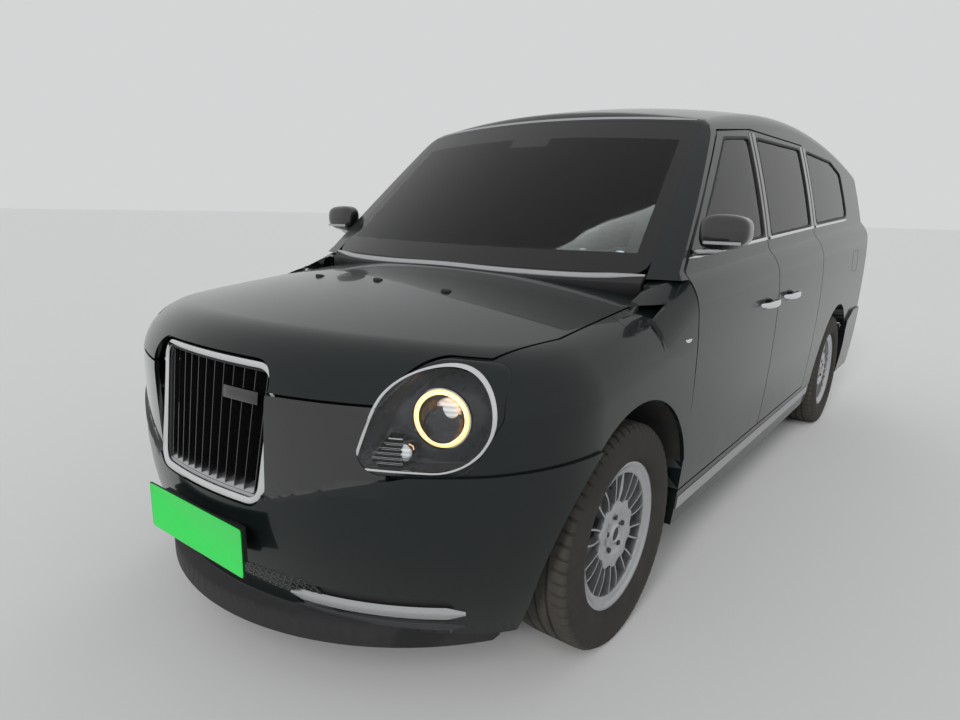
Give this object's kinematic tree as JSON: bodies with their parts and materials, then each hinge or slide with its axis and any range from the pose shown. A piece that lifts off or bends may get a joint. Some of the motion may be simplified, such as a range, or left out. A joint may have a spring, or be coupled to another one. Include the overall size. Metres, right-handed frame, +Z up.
{
  "type": "purpose-built taxi cab",
  "caption": "Upright five-door taxi cab with hinged doors, bonnet and tailgate, steered front wheels and a glazed passenger cabin.",
  "frame": {"origin": "on the floor under the middle of the car's length and width", "axes": "+X to the car's left, +Y rearward, +Z up"},
  "size_m": [2.084, 4.85, 1.8879],
  "materials": {
    "body_paint": "gloss, very dark green-black metallic",
    "gloss_black": "gloss",
    "grille_black": "satin",
    "bright_trim": "polished",
    "satin_trim": "satin",
    "wheel_silver": "painted and machined",
    "tyre": "matte",
    "glass": "clear, slightly green",
    "lamp_housing": "gloss",
    "red_lens": "clear red",
    "plate_green": "matte",
    "underbody": "matte",
    "liner": "matte",
    "dash": "grained",
    "dark_seat": "grained",
    "tan_seat": "grained",
    "wheel_leather": "grained",
    "cast_metal": "rough",
    "battery_case": "matte",
    "running_gear": "satin"
  },
  "bodies": {
    "body": {"body_frame": "underbody", "side_frame_left": "body_paint", "side_frame_right": "body_paint", "roof_panel": "body_paint", "wing_left": "body_paint", "wing_right": "body_paint", "front_bumper": "body_paint", "bumper_blades": "satin_trim", "grille_surround": "bright_trim", "grille_slats": "grille_black", "headlamps": "lamp_housing", "windscreen": "glass", "quarter_glass": "glass", "wheelhouses": "liner", "rear_bumper": "body_paint", "tail_lamps": "red_lens", "number_plates": "plate_green", "body_trim": "bright_trim", "dashboard": "dash", "driver_seat": "dark_seat", "partition": "dash", "rear_seats": "tan_seat", "power_unit": "cast_metal", "battery_pack": "battery_case", "front_suspension": "running_gear", "rear_axle": "running_gear"},
    "bonnet": {"bonnet": "body_paint"},
    "tailgate": {"tailgate": "body_paint", "tailgate_glass": "glass"},
    "front_door_left": {"front_door_left": "body_paint", "front_door_glass_left": "glass", "mirror_left": "gloss_black"},
    "front_door_right": {"front_door_right": "body_paint", "front_door_glass_right": "glass", "mirror_right": "gloss_black"},
    "rear_door_left": {"rear_door_left": "body_paint", "rear_door_glass_left": "glass"},
    "rear_door_right": {"rear_door_right": "body_paint", "rear_door_glass_right": "glass"},
    "knuckle_left": {"knuckle_left": "cast_metal"},
    "knuckle_right": {"knuckle_right": "cast_metal"},
    "steering_wheel": {"steering_wheel": "wheel_leather"},
    "wheel_front_left": {"tyre_front_left": "tyre", "rim_front_left": "wheel_silver"},
    "wheel_front_right": {"tyre_front_right": "tyre", "rim_front_right": "wheel_silver"},
    "wheel_rear_left": {"tyre_rear_left": "tyre", "rim_rear_left": "wheel_silver"},
    "wheel_rear_right": {"tyre_rear_right": "tyre", "rim_rear_right": "wheel_silver"}
  },
  "joints": [
    {"name": "front_door_left_hinge", "type": "hinge", "parent": "body", "child": "front_door_left", "pos_m": [0.933, -1.1015, 0.8], "axis": [0, 0, -1], "range_deg": [0, 68]},
    {"name": "rear_door_left_hinge", "type": "hinge", "parent": "body", "child": "rear_door_left", "pos_m": [0.933, 0.7625, 0.8], "axis": [0, 0, 1], "range_deg": [0, 85]},
    {"name": "front_door_right_hinge", "type": "hinge", "parent": "body", "child": "front_door_right", "pos_m": [-0.933, -1.1015, 0.8], "axis": [0, 0, 1], "range_deg": [0, 68]},
    {"name": "rear_door_right_hinge", "type": "hinge", "parent": "body", "child": "rear_door_right", "pos_m": [-0.933, 0.7625, 0.8], "axis": [0, 0, -1], "range_deg": [0, 85]},
    {"name": "bonnet_hinge", "type": "hinge", "parent": "body", "child": "bonnet", "pos_m": [0, -1.2535, 1.078], "axis": [-1, 0, 0], "range_deg": [0, 50]},
    {"name": "tailgate_hinge", "type": "hinge", "parent": "body", "child": "tailgate", "pos_m": [0, 2.175, 1.742], "axis": [1, 0, 0], "range_deg": [0, 82]},
    {"name": "steer_left", "type": "hinge", "parent": "body", "child": "knuckle_left", "pos_m": [0.7, -1.5435, 0.3555], "axis": [0, 0, 1], "range_deg": [-42, 42]},
    {"name": "wheel_front_left_spin", "type": "hinge", "parent": "knuckle_left", "child": "wheel_front_left", "pos_m": [0.808, -1.5435, 0.3555], "axis": [1, 0, 0], "continuous": true},
    {"name": "wheel_rear_left_spin", "type": "hinge", "parent": "body", "child": "wheel_rear_left", "pos_m": [0.808, 1.4425, 0.3555], "axis": [1, 0, 0], "continuous": true},
    {"name": "steer_right", "type": "hinge", "parent": "body", "child": "knuckle_right", "pos_m": [-0.7, -1.5435, 0.3555], "axis": [0, 0, 1], "range_deg": [-42, 42]},
    {"name": "wheel_front_right_spin", "type": "hinge", "parent": "knuckle_right", "child": "wheel_front_right", "pos_m": [-0.808, -1.5435, 0.3555], "axis": [1, 0, 0], "continuous": true},
    {"name": "wheel_rear_right_spin", "type": "hinge", "parent": "body", "child": "wheel_rear_right", "pos_m": [-0.808, 1.4425, 0.3555], "axis": [1, 0, 0], "continuous": true},
    {"name": "steering_column", "type": "hinge", "parent": "body", "child": "steering_wheel", "pos_m": [0.4, -0.5485, 1.015], "axis": [0, -0.8988, -0.4384], "range_deg": [-546, 546]}
  ],
  "couplings": [
    {"joint": "steer_right", "follows": "steer_left", "ratio": 1},
    {"joint": "steering_column", "follows": "steer_left", "ratio": -13}
  ]
}
